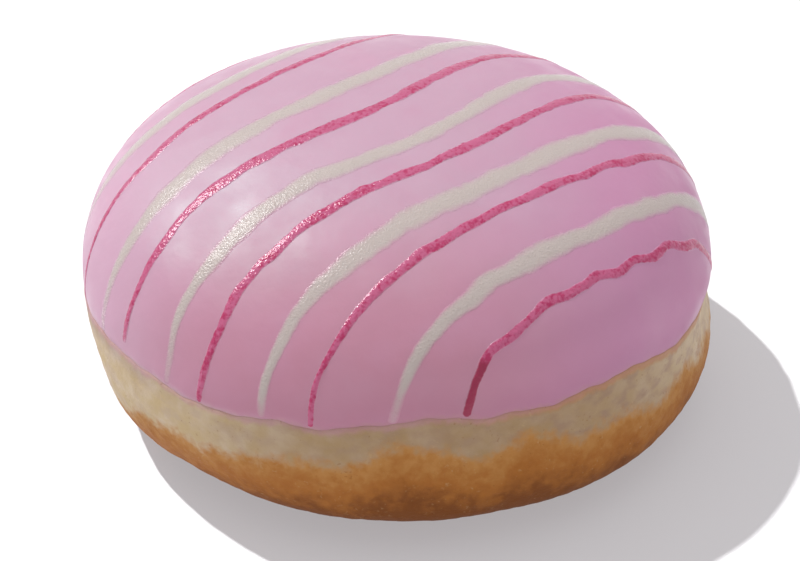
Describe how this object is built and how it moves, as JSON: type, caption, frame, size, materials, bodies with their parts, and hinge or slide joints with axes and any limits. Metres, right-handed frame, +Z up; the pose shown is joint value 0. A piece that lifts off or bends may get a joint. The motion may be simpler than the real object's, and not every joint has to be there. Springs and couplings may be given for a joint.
{
  "type": "iced doughnut",
  "caption": "Round doughnut without a hole: a bun of yeast dough with a pale collar and browned underside, under a smooth pink icing cap with piped white and dark pink lines.",
  "frame": {"origin": "on the table under the middle of the bun's outline, seen from above", "axes": "+Z up out of the icing; the piped lines run from the front left (-X, -Y) to the back right (+X, +Y)"},
  "size_m": [0.0928, 0.0876, 0.0438],
  "materials": {
    "dough": "matt fried dough: cream collar below the icing, golden to dark brown underside",
    "icing": "set sugar icing, satin gloss: pale pink cap with cream-white and dark pink piped lines"
  },
  "bodies": {
    "root": {"dough": "dough", "icing": "icing"}
  },
  "joints": []
}
